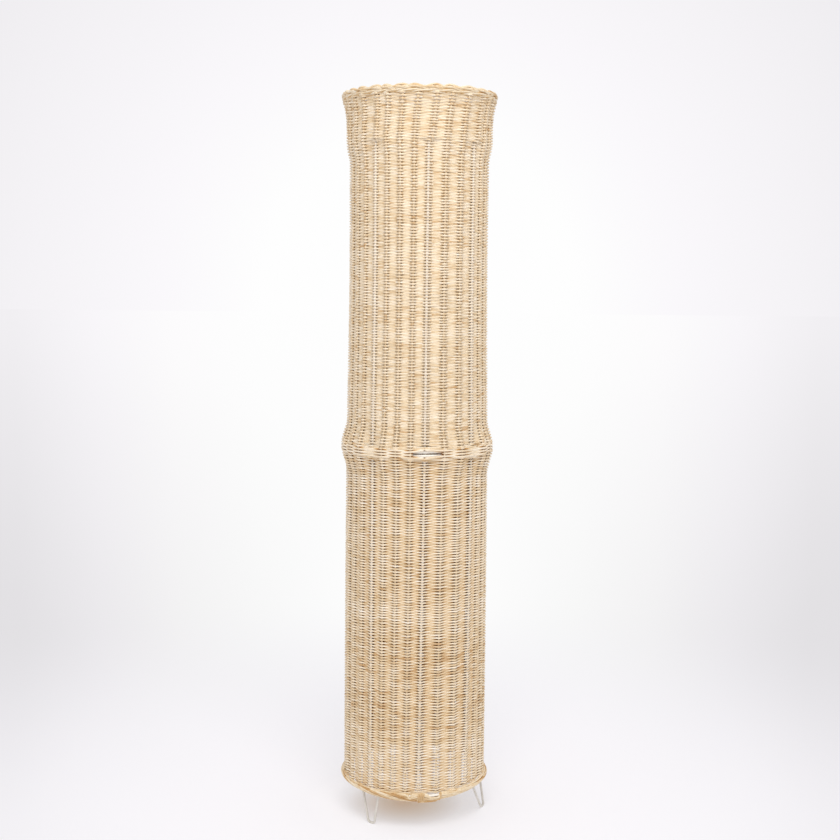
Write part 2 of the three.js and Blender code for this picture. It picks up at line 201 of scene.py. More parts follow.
def add_node(tree, kind, inputs=(), **settings):
    """A node's outputs. Its inputs, by name or number, take a socket or a fixed value each."""
    node = tree.nodes.new(f"ShaderNode{kind}")
    for setting, value in settings.items():
        setattr(node, setting, value)
    for place, value in dict(inputs).items():
        if isinstance(value, bpy.types.NodeSocket):
            tree.links.new(value, node.inputs[place])
        else:
            node.inputs[place].default_value = value
    return node.outputs


def add_ramp(tree, fac, stops):
    """A colour ramp over fac, with stops of place and colour."""
    ramp = tree.nodes.new("ShaderNodeValToRGB")
    elements = ramp.color_ramp.elements
    while len(elements) < len(stops):
        elements.new(0.5)
    for element, (place, colour) in zip(elements, stops):
        element.position = place
        element.color = linear(colour)
    tree.links.new(fac, ramp.inputs["Fac"])
    return ramp.outputs["Color"]


def add_noise(tree, vector, scale, detail):
    return add_node(tree, "TexNoise", {"Vector": vector, "Scale": scale, "Detail": detail})["Fac"]


def add_bump(tree, surface, height, strength, distance):
    bump = add_node(tree, "Bump", {"Height": height, "Strength": strength, "Distance": distance})
    tree.links.new(bump["Normal"], surface.inputs["Normal"])


def speckled(name, stops, roughness, metallic=0.0, patch=60, grain=1500, bump=0.15):
    """A painted, moulded or metal finish: soft patches of colour over a fine grain."""
    material, tree, surface = new_finish(name, roughness, metallic)
    place = add_node(tree, "TexCoord")["Object"]
    tree.links.new(add_ramp(tree, add_noise(tree, place, patch, 4), stops), surface.inputs["Base Color"])
    add_bump(tree, surface, add_noise(tree, place, grain, 2), bump, SPECKLE_DEPTH)
    return material


def bent_wire(node, line, finish, radius=WIRE_RADIUS, ring=False):
    """A wire bent along a line, in place of a node of the frame."""
    wire = rods(f"{node}_wire", [line], radius, WIRE_ROUNDNESS, loop=ring, level=ring)
    wire.data.materials.append(finish)
    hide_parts(node)
    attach(wire, "frame")


coated_wire = speckled("coated_wire", COAT_TINTS, COAT_ROUGHNESS)
wire_foot, wire_head = (corner.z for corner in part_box("upright_1"))
for number in range(UPRIGHT_COUNT):
    heights = np.linspace(wire_foot, wire_head, UPRIGHT_POINTS)
    line = at(upright_bearing(number, heights), upright_radius(heights), heights)
    bent_wire(f"upright_{number + 1}", line, coated_wire)

# Rings of the frame
# Four closed rings of coated wire: the top ring sits on the uprights, the pair at the joint and the bottom
# ring are welded round the outside of them.
RING_POINTS = 128
JOINT_WIRE_RADIUS = 0.0025
for node, wire in (
    ("top_ring", WIRE_RADIUS),
    ("middle_ring_upper", JOINT_WIRE_RADIUS),
    ("middle_ring_lower", JOINT_WIRE_RADIUS),
    ("bottom_ring", WIRE_RADIUS),
):
    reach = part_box(node)[1].x - wire
    line = at(np.linspace(0, 360, RING_POINTS, endpoint=False), reach, middle(node).z)
    bent_wire(node, line, coated_wire, wire, ring=True)

# Hairpin feet
# Three feet, each bent from one coated wire with a round tip and welded to the inside of the bottom ring.
# The right one leans back along the ring.
FOOT_SPREAD = 0.035
FOOT_TIP_HALF = 0.0006
FOOT_BEND = 0.0052
FOOT_KNEE = 0.0062
FOOT_WELD = 0.005
FOOT_POINTS = 9
FOOT_BEARINGS = (-38.2, 66, 201.8)
FOOT_LEANS = (0.0015, 0.031, 0)
# The feet have the same white coat as the other wires; this copy of it is painted darker, as shade on the
# feet low by the floor.
shaded_foot_coat = speckled("shaded_foot_coat", [(0.35, "#d0cbc1"), (0.6, "#dbd6cd"), (0.8, "#e4e0d8")], COAT_ROUGHNESS)
for number, (bearing, lean) in enumerate(zip(FOOT_BEARINGS, FOOT_LEANS)):
    node = f"hairpin_foot_{number + 1}"
    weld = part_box(node)[1].z
    across = []
    for side in (-1, 1):
        head = Vector((side * FOOT_SPREAD / 2, weld - FOOT_WELD))
        tip = Vector((lean + side * FOOT_TIP_HALF, WIRE_RADIUS))
        knee = Vector((lean + side * FOOT_KNEE, WIRE_RADIUS))
        shin = knee + (head - knee).normalized() * FOOT_BEND
        shares = np.linspace(0, 1, FOOT_POINTS)
        round_tip = [tip.lerp(knee, s).lerp(knee.lerp(shin, s), s) for s in shares]
        leg = [shin.lerp(head, s) for s in shares[1:]]
        across.append([*round_tip, *leg, Vector((head.x, weld))])
    flat = [*reversed(across[0]), *across[1]]
    plane_radius = math.sqrt(float(upright_radius(bottom_height)) ** 2 - (FOOT_SPREAD / 2) ** 2)
    turn = math.radians(bearing)
    outward = Vector((math.sin(turn), -math.cos(turn)))
    along = Vector((math.cos(turn), math.sin(turn)))
    line = [(*(outward * plane_radius + along * p.x), p.y) for p in flat]
    bent_wire(node, line, shaded_foot_coat)

# Canes
# Peeled round rattan, 3 mm thick, stands between the uprights. It is led outside the rings at the joint and
# at the top, and bends outwards on its way to the rim.
CANE_RADIUS = 0.0015
CANE_ROUNDNESS = 2
CANE_GAP = 0.0003
CANE_POINTS = 110
CANE_FOOT = 0.003
CANE_TONES = (0.2, 0.7)
JOINT_RISE = 0.042
TOP_RISE = 0.036
TOP_SLACK = 0.002
FLARE_LENGTH = 0.042
FLARE_OUT = 0.0061
# Painted shade: a strand is tinted browner in the pockets where it lies deep behind a stake, and a touch
# darker on the crests over the stakes, to tone down their highlight.
POCKET_SHADE_TINTS = [
    (0.0, "#f6efe4"), (0.25, "#fffdf9"), (0.55, "#fffcf6"),
    (0.75, "#e6cea5"), (0.9, "#c09250"), (1.0, "#93652b"),
]
CLOUD = 1.4
FIBRES_ALONG, FIBRES_AROUND = 160, 14
FIBRE_BUMP, FIBRE_DEPTH = 0.35, 0.0003
joint_offset = joint_height - middle("middle_ring_lower").z
joint_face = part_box("middle_ring_lower")[1].x
joint_lift = joint_face + CANE_GAP + 2 * CANE_RADIUS - (RADIUS_JOINT + WIRE_RADIUS)


def cane_face(height):
    """Outer face of the canes at a height, on which the strands lie."""
    off_rings = np.maximum(np.abs(height - joint_height) - joint_offset, 0)
    lift = joint_lift * ease(1 - off_rings / JOINT_RISE)
    top_lift = 2 * CANE_RADIUS + CANE_GAP + TOP_SLACK
    lift = lift + top_lift * ease((height - top_height + TOP_RISE) / (TOP_RISE - WIRE_RADIUS))
    flare = np.clip((height - weave_top + FLARE_LENGTH) / FLARE_LENGTH, 0, None)
    return upright_radius(height) + WIRE_RADIUS + lift + FLARE_OUT * flare**2


def add_math(tree, operation, *terms, vectors=False):
    """A calculation whose terms are sockets or fixed values."""
    worked = add_node(tree, "VectorMath" if vectors else "Math", enumerate(terms), operation=operation)
    return worked["Vector" if vectors and operation != "DISTANCE" else "Value"]


def new_rattan(name, stops, roughness, mottle=26.0):
    """Raw rattan: each strand's own tone, clouded along its length, times a painted shade that is browner
    where the strand lies deep behind a stake.
    """
    material, tree, surface = new_finish(name, roughness)
    tone, run, painted_shade = (add_node(tree, "Attribute", attribute_name=m)["Fac"] for m in ("tone", "run", "painted_shade"))
    place = add_node(tree, "CombineXYZ", enumerate((run, tone)))["Vector"]
    cloud = add_noise(tree, place, mottle, 3)
    clouded = add_math(tree, "MULTIPLY_ADD", cloud, CLOUD, tone)
    own_tint = add_ramp(tree, add_math(tree, "SUBTRACT", clouded, CLOUD / 2), stops)
    tint = add_math(tree, "MULTIPLY", own_tint, add_ramp(tree, painted_shade, POCKET_SHADE_TINTS), vectors=True)
    tree.links.new(tint, surface.inputs["Base Color"])
    along = add_math(tree, "MULTIPLY", run, FIBRES_ALONG)
    across = add_node(tree, "SeparateXYZ", {"Vector": add_node(tree, "UVMap")["UV"]})["Y"]
    around = add_math(tree, "MULTIPLY", across, FIBRES_AROUND)
    place = add_node(tree, "CombineXYZ", enumerate((along, around, tone)))["Vector"]
    add_bump(tree, surface, add_noise(tree, place, 1, 3), FIBRE_BUMP, FIBRE_DEPTH)
    return material


def lengths_along(run):
    """Distance of each point from the start of its run."""
    return np.concatenate([[0], np.cumsum(np.linalg.norm(np.diff(run, axis=0), axis=1))])


def cane_rod(name, line):
    """A cane along a line, with a tone of its own."""
    tone = np.full(len(line), cane_dice.uniform(*CANE_TONES))
    marks = {"tone": [tone], "run": [lengths_along(line)]}
    cane = rods(name, [line], CANE_RADIUS, CANE_ROUNDNESS, marks=marks)
    cane.data.materials.append(cane_finish)
    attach(cane, "frame")
    return cane


cane_dice = random.Random(7)
cane_finish = new_rattan("peeled_cane", [(0.1, "#faf2e2"), (0.5, "#f3e6cd"), (0.9, "#e3cba3")], 0.5)
wall_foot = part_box("woven_wall_lower")[0].z
cane_number = 0
for number, canes in enumerate(CANES_AFTER):
    for cane_share in np.arange(1, canes + 1) / (canes + 1):
        cane_number += 1
        heights = np.linspace(wall_foot - CANE_FOOT, weave_top, CANE_POINTS)
        left = upright_bearing(number, heights)
        gap = (upright_bearing((number + 1) % UPRIGHT_COUNT, heights) - left) % 360
        line = at(left + gap * cane_share, cane_face(heights) - CANE_RADIUS, heights)
        cane = cane_rod(f"cane_{cane_number}_rod", line)
        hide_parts(f"cane_{cane_number}")

# Short canes beside the heads of the uprights
# The wire ends at the top ring, so a short cane is pushed into the weave beside each head and carries the
# strands on into the flare.
PEG_TAIL = 0.008
PEG_SINK = 0.0035
PEG_ASIDE = 0.005
PEG_POINTS = 24
peg_aside = math.degrees(PEG_ASIDE / RADIUS_TOP)
for number in range(UPRIGHT_COUNT):
    heights = np.linspace(top_height - PEG_TAIL, weave_top, PEG_POINTS)
    sink = PEG_SINK * (1 - ease((heights - heights[0]) / PEG_TAIL))
    bearings = upright_bearing(number, heights) + peg_aside
    line = at(bearings, cane_face(heights) - CANE_RADIUS - sink, heights)
    cane_rod(f"short_cane_{number + 1}", line)

# Woven walls
# Rattan core goes over one stake and under the next, with a row every 2.2 mm. The number of stakes is odd,
# so one strand alternates by itself, and a new one starts behind a stake. Painted shade browns the strands
# in the pockets beside the stakes and darkens the rows low down; painted highlight makes the crests over the
# uprights paler. At the heads of the uprights the strands step out onto the short canes.
STRAND_RADIUS = 0.0013
STRAND_ROUNDNESS = 1
STRAND_PRESS = 0.0003
ROW_PITCH = 0.00223
STEP_SHARES = np.array([0, 0.07, 0.15, 0.3, 0.7, 0.85, 0.93])
STEPS = len(STEP_SHARES)
OVER_BEND = 0.14
UNDER_BEND_LOWER, UNDER_BEND_UPPER = 0.35, 0.25
STRAND_CROSSING_PAIRS = (50, 75)
STRAND_END_TUCK = 1.2
JOINT_CLEAR = 0.0077
SUNK_FULL = 0.0027
OVER_SWELL = 0.3
WIRE_SWELL_SHARE = 0.1
TONES_LOWER, TONES_UPPER = (0.36, 0.5), (0.45, 0.58)
# Painted highlight: the crests of strands over a stake are painted paler, the first number over an upright,
# the second over a cane.
CREST_HIGHLIGHT_LOWER, CREST_HIGHLIGHT_UPPER = (0.06, 0.0), (0.24, 0.05)
# How strongly each wall is given painted shade in its pockets.
POCKET_SHADE_LOWER, POCKET_SHADE_UPPER = 1.0, 0.65
HEAD_RAMP = 0.006
# Painted shade: the rows between 13 and 33 cm up are painted darker.
LOW_ROW_SHADE = 0.11
LOW_SHADE_FROM, LOW_SHADE_TO, LOW_SHADE_RAMP = 0.13, 0.33, 0.05
RING_RAMP = 0.0055
RING_LEDGE = 0.003
ROWS_BELOW = 0.0024
ROW_WAVES = ((0.0007, 3, 41, 0.7), (0.0005, 7, -67, 2.1), (0.0003, 13, 151, 4.2))
ROW_WAVE_FADE = 0.03
ROW_SHAKE = 0.00009
CROWDING, CROWDING_TURN, CROWDING_FADE = 0.0007, 57, 0.02
LOOSENESS = 0.0003
WALL_PIECES = 4
stake_upright, stake_share = [], []
for number, canes in enumerate(CANES_AFTER):
    for cane in range(canes + 1):
        stake_upright.append(number)
        stake_share.append(cane / (canes + 1))
stake_upright, stake_share = np.array(stake_upright), np.array(stake_share)
stake_count = len(stake_upright)
ring_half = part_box("middle_ring_upper")[1].z - joint_height


def stake_at(stake, height):
    """Bearing, centre radius and half thickness of numbered stakes at their heights."""
    bearings = np.stack([upright_bearing(n, height) for n in range(UPRIGHT_COUNT)])
    columns = np.arange(len(height))
    left = bearings[stake_upright[stake], columns]
    right = bearings[(stake_upright[stake] + 1) % UPRIGHT_COUNT, columns]
    bearing = left + ((right - left) % 360) * stake_share[stake]
    is_wire = stake_share[stake] == 0
    beside = ease((height - top_height + PEG_TAIL) / PEG_TAIL)
    bearing = bearing + np.where(is_wire, peg_aside * beside, 0)
    on_wire = is_wire & (height < top_height - WIRE_RADIUS)
    near_ring = ease(1 - (np.abs(height - joint_height) - ring_half - RING_LEDGE) / RING_RAMP)
    over_ring = (joint_face - RADIUS_JOINT) * near_ring
    near_head = ease(1 - (top_height - WIRE_RADIUS - height) / HEAD_RAMP)
    cane_centre = cane_face(height) - CANE_RADIUS
    over_head = (cane_centre - upright_radius(height)) * near_head
    centre = np.where(on_wire, upright_radius(height) + over_ring + over_head, cane_centre)
    return bearing, centre, np.where(on_wire, WIRE_RADIUS * (1 - near_ring - near_head), CANE_RADIUS)


def between(value, low, high, fade):
    """1 from low to high, easing to 0 at both of them over a fade."""
    return ease((value - low) / fade) * ease((high - value) / fade)


def row_wave(bearing, height, low, high):
    """Gentle rise and fall of the rows, none at the wall's two ends."""
    turn = np.radians(bearing)
    wave = sum(
        size * np.sin(times_round * turn + climb * height + start)
        for size, times_round, climb, start in ROW_WAVES
    )
    return wave * between(height, low, high, ROW_WAVE_FADE)


def bend(share, off, under_bend):
    """What a strand still has of its offset at a stake, at a share of the way to the next one."""
    return off * np.exp(-((share / np.where(off > 0, OVER_BEND, under_bend)) ** 2))


def weave_strands(low, high, under_bend, crest_highlight_on, chance):
    """Strands between two heights: for each its run, how far it is over or under, its swell and its painted
    light, a highlight on the crests less a shade low down.
    """
    crossings = int((high - low) / ROW_PITCH * stake_count)
    number = np.arange(crossings + 1)
    level_share = stake_count / crossings
    climb = np.clip((number / crossings - level_share) / (1 - 2 * level_share), 0, 1)
    height = low + (high - low) * climb
    crowding = CROWDING * np.sin(height * CROWDING_TURN + 1)
    height = height + crowding * between(height, low, high, CROWDING_FADE)
    bearing, centre, half = stake_at(number % stake_count, height)
    side = np.where(number % 2 == 0, 1, -1)
    loose = np.array([chance.uniform(0, LOOSENESS) for _ in number])
    off = side * (half + STRAND_RADIUS - STRAND_PRESS + loose)
    height = height + row_wave(bearing, height, low, high)
    height = height + np.array([chance.gauss(0, ROW_SHAKE) for _ in number])
    post = at(bearing, centre, height)
    share = STEP_SHARES[:, None, None]
    chord = post[None, :-1] * (1 - share) + post[None, 1:] * share
    share = share[..., 0]
    reach = bend(share, off[None, :-1], under_bend) + bend(1 - share, off[None, 1:], under_bend)
    flat = np.linalg.norm(chord[..., :2], axis=-1, keepdims=True)
    chord[..., :2] *= 1 + reach[..., None] / flat
    points = chord.transpose(1, 0, 2).reshape(-1, 3)
    over = np.clip(reach / SUNK_FULL, -1, 1)
    on_wire = np.where(share < 0.5, half[:-1] > CANE_RADIUS, half[1:] > CANE_RADIUS)
    swell = 1 + OVER_SWELL * np.clip(over, 0, 1) * np.where(on_wire, WIRE_SWELL_SHARE, 1)
    low_shade = LOW_ROW_SHADE * between(chord[..., 2], LOW_SHADE_FROM, LOW_SHADE_TO, LOW_SHADE_RAMP)
    painted_light = np.clip(over, 0, 1) * np.where(on_wire, *crest_highlight_on) - low_shade
    over, swell, painted_light = over.T.reshape(-1), swell.T.reshape(-1), painted_light.T.reshape(-1)
    strands, start = [], 1
    while start < crossings:
        end = min(start + 2 * chance.randint(*STRAND_CROSSING_PAIRS), crossings)
        part = slice(start * STEPS, end * STEPS)
        run = points[part].copy()
        tuck = np.linspace(1, 0, STEPS)[:, None] * STRAND_END_TUCK * STRAND_RADIUS
        radius = np.linalg.norm(run[:STEPS, :2], axis=1, keepdims=True)
        run[:STEPS, :2] *= 1 - tuck / radius
        strands.append((run, over[part], swell[part], painted_light[part]))
        start = end
    return strands


def strand_rods(name, strands, radius, roundness, finish, node=None):
    """A piece of strands, each given as its run, tone, painted shade for its depth in the weave, and swell.
    """
    runs = [strand[0] for strand in strands]
    tones, painted_shade, swell = ([np.broadcast_to(s[part], len(s[0])) for s in strands] for part in (1, 2, 3))
    marks = {"tone": tones, "run": [lengths_along(run) for run in runs], "painted_shade": painted_shade}
    piece = rods(name, runs, radius, roundness, level=True, swell=swell, marks=marks)
    piece.data.materials.append(finish)
    if node:
        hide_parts(node)
    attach(piece, "frame")


def weave_wall(node, low, high, under_bend, crest_highlight_on, pocket_shade_strength, tone_range, chance):
    """The strands of a wall, shared among pieces that are cut by height."""
    strands = weave_strands(low, high, under_bend, crest_highlight_on, chance)
    for piece in range(WALL_PIECES):
        first, last = (len(strands) * (piece + step) // WALL_PIECES for step in (0, 1))
        # Each strand gets its own tone, less its painted light, and painted shade in the pockets where it
        # goes under a stake.
        laid = [
            (run, chance.uniform(*tone_range) - painted_light, pocket_shade_strength * (1 - over) / 2, swell)
            for run, over, swell, painted_light in strands[first:last]
        ]
        name = f"{node}_strands_{piece + 1}"
        strand_rods(name, laid, STRAND_RADIUS, STRAND_ROUNDNESS, strand_finish, node)


STRAND_TINTS = [(0.0, "#fffbf4"), (0.18, "#faf1e2"), (0.42, "#f3e5ce"), (0.62, "#e8d4b3"), (0.85, "#cda878")]
strand_finish = new_rattan("woven_strand", STRAND_TINTS, 0.6)
weave_dice = random.Random(21)
weave_wall(
    "woven_wall_lower", wall_foot + STRAND_RADIUS - ROWS_BELOW, joint_height - JOINT_CLEAR,
    UNDER_BEND_LOWER, CREST_HIGHLIGHT_LOWER, POCKET_SHADE_LOWER, TONES_LOWER, weave_dice,
)
weave_wall(
    "woven_wall_upper", joint_height + JOINT_CLEAR, weave_top - STRAND_RADIUS / 2,
    UNDER_BEND_UPPER, CREST_HIGHLIGHT_UPPER, POCKET_SHADE_UPPER, TONES_UPPER, weave_dice,
)

# Strands over the joint
# Six rows close the joint. They go over and under the canes like the others but stay outside the two rings.
# The two in the middle end at the canes beside the front upright and the others part there, so that both
# rings show.
SEAM_ROWS = 6
SEAM_PITCH = 0.00226
SEAM_TONES = (0.3, 0.42)
SEAM_STEPS = 8
BARE_WITHIN = 0.002
BARE_LIFTS = {0.5: 0, 1.5: 0.0026, 2.5: 0.0014}
BARE_SPREAD = 15
FRONT_UPRIGHT = 1
TUCK_DEGREES = 1.9
WIRE_SUNK = 0.35
front_stake = int(np.flatnonzero((stake_upright == FRONT_UPRIGHT) & (stake_share == 0))[0])
front_bearing = float(upright_bearing(FRONT_UPRIGHT, joint_height))
on_ring = joint_face + STRAND_RADIUS
on_cane = joint_face + CANE_GAP + 2 * CANE_RADIUS + STRAND_RADIUS - STRAND_PRESS
seam_strands = []
for row in range(SEAM_ROWS):
    place = row - (SEAM_ROWS - 1) / 2
    offset = place * SEAM_PITCH
    bare = abs(offset) < BARE_WITHIN
    order = np.arange(front_stake + bare, front_stake + stake_count + 1 - bare)
    stakes = order % stake_count
    knots = stake_at(stakes, np.full(len(order), joint_height + offset))[0] + 360 * (order // stake_count)
    is_cane = stake_share[stakes] > 0
    is_over = is_cane & ((order + row) % 2 == 0)
    reaches = np.where(is_over, on_cane, on_ring)
    # The depth is painted shade, full where a strand passes behind a cane or is tucked in and a little where
    # it crosses an upright on the ring; it also takes swell off the strands that are not over a cane.
    depths = np.where(is_over, 0, np.where(is_cane, 1, WIRE_SUNK))
    if bare:
        knots = np.concatenate([[knots[0] - TUCK_DEGREES], knots, [knots[-1] + TUCK_DEGREES]])
        reaches = np.pad(reaches, 1, constant_values=joint_face - STRAND_RADIUS)
        depths = np.pad(depths, 1, constant_values=1)
    fine = np.arange(0, len(knots) - 1, 1 / SEAM_STEPS)
    before = fine.astype(int)
    share = fine - before
    swing = ease(share)
    bearings = knots[before] * (1 - share) + knots[before + 1] * share
    radii = reaches[before] * (1 - swing) + reaches[before + 1] * swing
    depth = depths[before] * (1 - swing) + depths[before + 1] * swing
    away = np.abs((bearings - front_bearing + 180) % 360 - 180)
    lift = math.copysign(BARE_LIFTS[abs(place)], offset) * ease(1 - away / BARE_SPREAD)
    run = at(bearings, radii, joint_height + offset + lift)
    swell = 1 + OVER_SWELL * np.clip(1 - 2 * depth, 0, 1)
    seam_strands.append((run, weave_dice.uniform(*SEAM_TONES), depth, swell))
strand_rods("joint_strands", seam_strands, STRAND_RADIUS, STRAND_ROUNDNESS, strand_finish)

# Plaited rim
# Three heavier strands run round under the edge, over two stakes and behind one. Above them each stake comes
# out from behind the one before it as a leaf of three strands, arches over the edge and goes down in front.
RIM_STRAND_RADIUS = 0.00135
RIM_LEAF_STRANDS = 3
RIM_POINTS = 36
PLAIT_ROUNDNESS = 2
LEAF_STEPS = (0, 0.35, 0.8, 1.3, 1.9, 2.4, 2.8)
LEAF_TURNS = (165, 122, 90, 60, 18, -35, -90)
LEAF_SHIFT = 1.2
LEAF_TONES = ((0.3, 0.58), (0.6, 0.78), 0.25)
LEAF_STRAND_TONE = 0.06
LEAF_APEX = 0.85
LEAF_BUMP = 0.0048
LEAF_BUMP_SHARES = (0.75, 1.25)
LEAF_BUMP_SPREAD = 0.8
LEAF_SETTLE = 0.0008
LEAF_TUCK = 0.0013
LEAF_OUT_BY, LEAF_IN_FROM, LEAF_IN_OVER = 0.5, 2.1, 0.6
# Painted shade on the leaf ends that are tucked into the weave.
LEAF_SUNK = 0.9
LEAF_PUFF = 0.0006
LEAF_SWELL = 0.18
LEAF_HALF_HEIGHT = 0.0054
LEAF_HALF_WIDTH = 0.0047
BACK_STAKE = 16
ROUND_STEPS = 6
WALE_STRANDS = 3
WALE_RISE = 0.0024
WALE_OUT, WALE_TURN = 1.5, 1.6
WALE_TONES = (0.2, 0.5)
# Painted shade on the wale strands where they pass behind the canes.
WALE_SUNK = 0.75
RIM_CORES_DOWN = (0.0056, 0.0032, 0.0008)
RIM_CORE_IN = 0.0004
# The cores inside the rim take a middle tone, painted shade and a swell.
RIM_CORE_TONE, RIM_CORE_SUNK, RIM_CORE_SWELL = 0.5, 0.72, 1.9
rim_low, rim_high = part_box("plaited_rim")
rim_centre = rim_high.x - LEAF_HALF_WIDTH
rim_middle = rim_high.z - LEAF_HALF_HEIGHT
PLAIT_TINTS = [(0.1, "#f8f0e0"), (0.45, "#f0e2c8"), (0.7, "#e3caa2"), (0.95, "#c79f6b")]
plait_finish = new_rattan("plaited_strand", PLAIT_TINTS, 0.55, mottle=75)
plait_dice = random.Random(5)
stakes_at_top = stake_at(np.arange(stake_count), np.full(stake_count, weave_top))[0]


def bearing_ahead(bearings, stake, steps):
    """Bearing at a number of steps from a stake to those that follow it, always rising."""
    ahead = np.arange(int(steps[-1]) + 2)
    order = stake + ahead
    return np.interp(steps, ahead, bearings[order % stake_count] + 360 * (order // stake_count))


def leaf_tone(common, browner, browner_share):
    """A tone from the common range or, for a share of the leaves, from the browner one."""
    return plait_dice.uniform(*(common if plait_dice.random() > browner_share else browner))


rim_strands = []
for leaf in range(stake_count):
    steps = np.linspace(0, LEAF_STEPS[-1], RIM_POINTS)
    bearing = bearing_ahead(stakes_at_top, leaf, steps) + plait_dice.uniform(-LEAF_SHIFT, LEAF_SHIFT)
    angle = np.interp(steps, LEAF_STEPS, np.radians(LEAF_TURNS))
    tone = leaf_tone(*LEAF_TONES)
    bump = LEAF_BUMP * plait_dice.uniform(*LEAF_BUMP_SHARES)
    settle = plait_dice.uniform(0, LEAF_SETTLE)
    fall = np.cos(math.pi * np.clip((steps - LEAF_APEX) / LEAF_BUMP_SPREAD, -1, 1))
    drop = bump * (1 - fall) / 2 + settle
    tucked = np.maximum(1 - ease(steps / LEAF_OUT_BY), ease((steps - LEAF_IN_FROM) / LEAF_IN_OVER))
    puff = LEAF_PUFF * (1 - tucked) - LEAF_TUCK * tucked
    thick = 1 + LEAF_SWELL * (1 - tucked)
    for strand in range(RIM_LEAF_STRANDS):
        swing = angle + (strand - (RIM_LEAF_STRANDS - 1) / 2) * 2 * RIM_STRAND_RADIUS / LEAF_HALF_HEIGHT
        across = (LEAF_HALF_WIDTH - RIM_STRAND_RADIUS - LEAF_PUFF + puff) * np.cos(swing)
        up = (LEAF_HALF_HEIGHT - RIM_STRAND_RADIUS - LEAF_PUFF + puff) * np.sin(swing)
        up = up - drop * np.clip(np.sin(swing), 0, 1)
        run = at(bearing, rim_centre + across, rim_middle + up)
        strand_tone = tone + plait_dice.uniform(-LEAF_STRAND_TONE, LEAF_STRAND_TONE)
        rim_strands.append((run, strand_tone, LEAF_SUNK * tucked, thick))
rim_turn = np.linspace(0, stake_count, stake_count * ROUND_STEPS + 1)
turn_bearing = bearing_ahead(stakes_at_top, BACK_STAKE, rim_turn)
wale_centre = float(cane_face(weave_top)) - CANE_RADIUS
for strand in range(WALE_STRANDS):
    phase = (rim_turn + strand) % WALE_STRANDS
    outside = np.clip(WALE_OUT - np.abs(phase - WALE_STRANDS / 2) * WALE_TURN, -1, 1)
    reach = outside * (CANE_RADIUS + RIM_STRAND_RADIUS)
    lift = np.interp(phase, [0, 0.5, 2.5, 3], [0, -WALE_RISE, WALE_RISE, 0])
    run = at(turn_bearing, wale_centre + reach, rim_low.z + WALE_RISE + lift)
    rim_strands.append((run, plait_dice.uniform(*WALE_TONES), np.clip(WALE_SUNK - outside, 0, 1), 1))
for down in RIM_CORES_DOWN:
    run = at(turn_bearing, rim_centre - RIM_CORE_IN, rim_middle - down)
    rim_strands.append((run, RIM_CORE_TONE, RIM_CORE_SUNK, RIM_CORE_SWELL))
strand_rods(
    "plaited_rim_strands", rim_strands, RIM_STRAND_RADIUS, PLAIT_ROUNDNESS, plait_finish,
    "plaited_rim",
)

# Bottom border
# Each stake's lower end is doubled, turned to the right round the outside of the bottom ring, runs along it
# for four spaces and is tucked in underneath. Beside the front upright the strands leave the ring bare.
BORDER_STRAND_RADIUS = 0.00135
BORDER_STRANDS = 2
BORDER_STRAND_TURN = 0.42
BORDER_POINTS = 48
BORDER_STEPS = (0, 0.7, 1.6, 2.9, 3.9, 4.6)
BORDER_TURNS = (115, 70, 10, -55, -110, -165)
BORDER_TONES = ((0.36, 0.6), (0.7, 0.92), 0.35)
BORDER_STRAND_TONE = 0.1
# Painted shade where a leaf comes out from behind the weave and where it is tucked in underneath.
BORDER_OUT_BY, BORDER_IN_FROM, BORDER_IN_OVER, BORDER_IN_SUNK = 0.6, 3.2, 0.9, 0.9
BORDER_OUT = 0.0034
BORDER_UP = 0.0034
BORDER_DOWN = 0.0078
BORDER_FRONT = 75
SIDE_SHARE = 0.25
BASE_PLACES = ((-0.0014, 0.0030), (0.0004, 0.0036))
# The two strands along the ring carry painted shade.
BASE_TONE, BASE_SUNK = 0.5, 0.6
BARE_END = 21.5
BARE_PLACES = ((10, BARE_END, 3.0), (-4.6, -1.4, 1.4))
BARE_TOP = -0.0034
GOLD_TONE = 0.85
GOLD_FROM, GOLD_LIFTS_FROM = 3, 16
GOLD_OUT, GOLD_DOWN, GOLD_LIFT = 0.0020, 0.0090, 0.0055
WRAP_BEARINGS = (3.4, 4.7, 6.0, 7.3, 20.6)
WRAP_LEAN = 2.2
WRAP_TURN = 130
WRAP_TONE = 0.75
# Painted shade on the wraps, deeper towards both ends where they go in behind the ring; the middle stays
# unshaded.
WRAP_SUNK, WRAP_BRIGHT = 2.6, 0.6
border_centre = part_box("bottom_ring")[1].x - WIRE_RADIUS
stakes_at_foot = stake_at(np.arange(stake_count), np.full(stake_count, wall_foot))[0]
border_strands = []
for leaf in range(stake_count):
    steps = np.linspace(0, BORDER_STEPS[-1], BORDER_POINTS)
    bearing = bearing_ahead(stakes_at_foot, leaf, steps)
    angle = np.interp(steps, BORDER_STEPS, np.radians(BORDER_TURNS))
    tone = leaf_tone(*BORDER_TONES)
    painted_shade = np.maximum(
        1 - ease(steps / BORDER_OUT_BY), BORDER_IN_SUNK * ease((steps - BORDER_IN_FROM) / BORDER_IN_OVER)
    )
    for strand in range(BORDER_STRANDS):
        swing = angle - strand * BORDER_STRAND_TURN
        out = BORDER_OUT * np.cos(swing)
        around = (bearing + 180) % 360 - 180
        full = SIDE_SHARE + (1 - SIDE_SHARE) * ease(1 - np.abs(around) / BORDER_FRONT)
        rise = np.where(np.sin(swing) > 0, BORDER_UP, BORDER_DOWN) * np.sin(swing) * full
        for low, high, soft in BARE_PLACES:
            rise = rise - between(around, low, high, soft) * np.clip(rise - BARE_TOP, 0, None)
        run = at(bearing, border_centre + out, bottom_height + rise)
        strand_tone = tone + plait_dice.uniform(-BORDER_STRAND_TONE, BORDER_STRAND_TONE)
        border_strands.append((run, strand_tone, painted_shade, 1))
